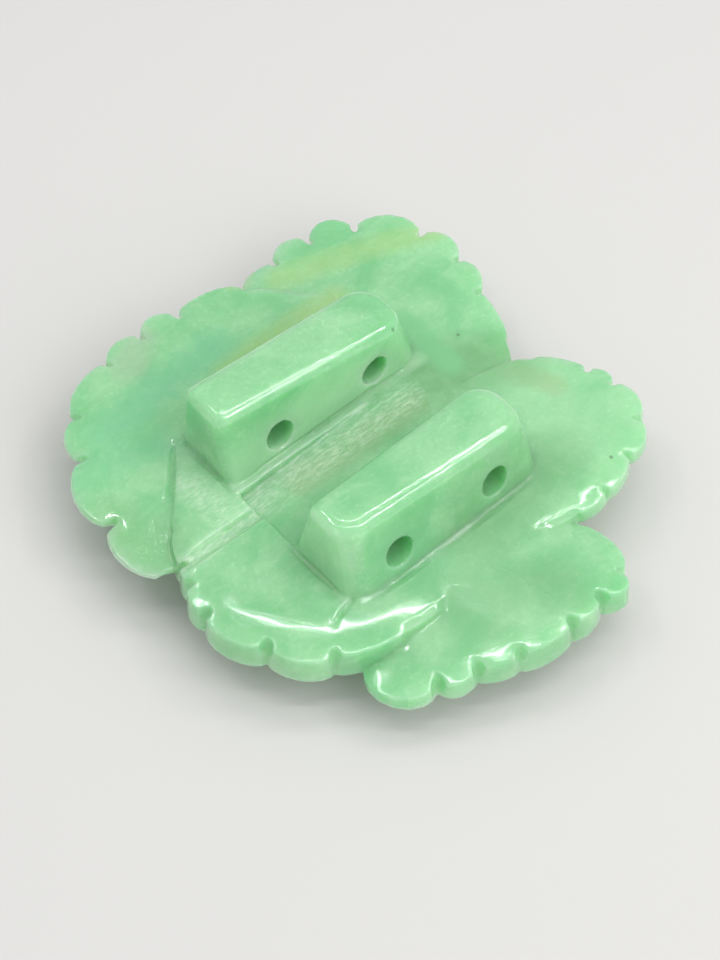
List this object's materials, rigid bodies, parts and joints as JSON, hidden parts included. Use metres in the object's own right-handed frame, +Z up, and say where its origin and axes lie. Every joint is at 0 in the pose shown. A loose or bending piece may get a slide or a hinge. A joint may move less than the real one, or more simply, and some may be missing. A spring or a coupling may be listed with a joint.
{
  "type": "jade sash slide",
  "caption": "Carved pale green jade sash slide: overlapping leaves with scalloped rims around parallel raised bars that are drilled across for a cord.",
  "frame": {"origin": "on the surface that the slide lies on, under the middle of its bounding box", "axes": "+X along the cord bars, towards their lower ends; +Y across them, the longest extent; +Z up, the shortest extent, towards the cord side"},
  "size_m": [0.0554, 0.06, 0.0185],
  "materials": {
    "jade": "polished"
  },
  "bodies": {
    "root": {"jade_sash_slide": "jade"}
  },
  "joints": []
}
